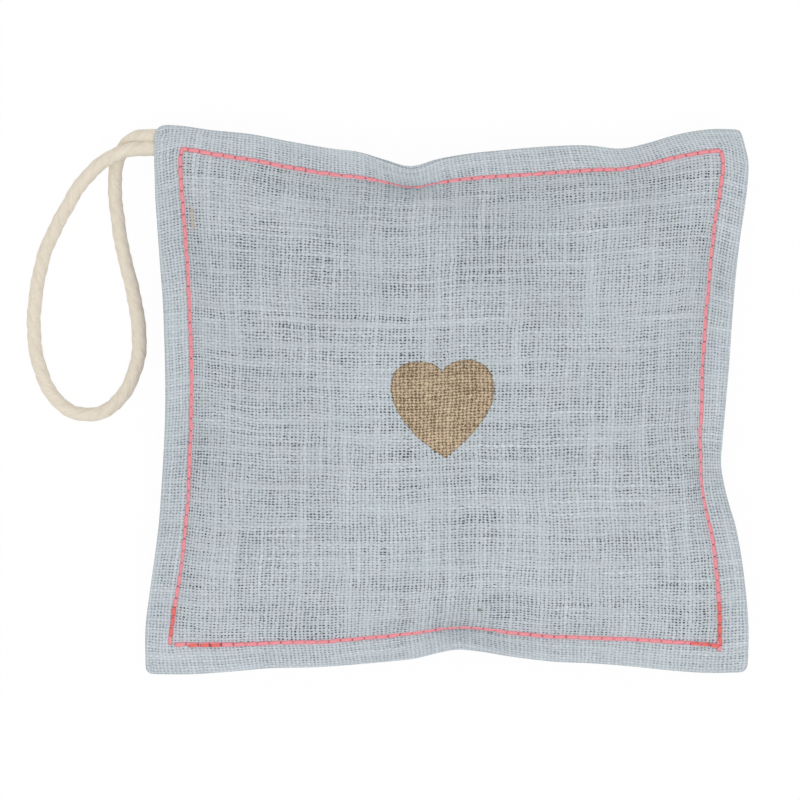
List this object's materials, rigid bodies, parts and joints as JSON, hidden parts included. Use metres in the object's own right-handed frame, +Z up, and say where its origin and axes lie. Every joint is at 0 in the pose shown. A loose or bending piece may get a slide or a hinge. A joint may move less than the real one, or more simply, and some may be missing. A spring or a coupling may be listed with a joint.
{
  "type": "lavender sachet",
  "caption": "Square linen sachet filled with dried lavender, topstitched round a flat border, with a printed heart on the front and a cotton cord hanging loop at one corner.",
  "frame": {"origin": "middle of the sachet, without its cord, on the surface that it lies on", "axes": "+Z up out of the printed front, +X to the right across the front, +Y towards the top edge"},
  "size_m": [0.1447, 0.1098, 0.0247],
  "materials": {
    "linen": "pale blue-grey open plain weave linen, matt",
    "dried_lavender": "loose dried lavender flowers, dull purple-grey",
    "gold_ink": "dull gold textile ink, soaked into the weave",
    "coral_thread": "coral pink sewing thread, slight sheen",
    "seam_thread": "pale grey sewing thread",
    "cotton_cord": "natural cream cotton cord, softly twisted, matt"
  },
  "bodies": {
    "sachet": {"front_panel": "linen", "back_panel": "linen", "lavender_filling": "dried_lavender", "printed_heart": "gold_ink", "side_topstitch_needle_thread": "coral_thread", "side_topstitch_bobbin_thread": "coral_thread", "closing_topstitch_needle_thread": "coral_thread", "closing_topstitch_bobbin_thread": "coral_thread", "inside_seam_thread_left": "seam_thread", "inside_seam_thread_top_right": "seam_thread", "loop_tail_upper": "cotton_cord", "loop_tail_lower": "cotton_cord"},
    "loop": {"hanging_loop": "cotton_cord"}
  },
  "joints": [
    {"name": "loop_lift", "type": "hinge", "parent": "sachet", "child": "loop", "pos_m": [-0.06006, 0.0516, 0.00747], "axis": [0, 1, 0], "range_deg": [0, 150]}
  ]
}
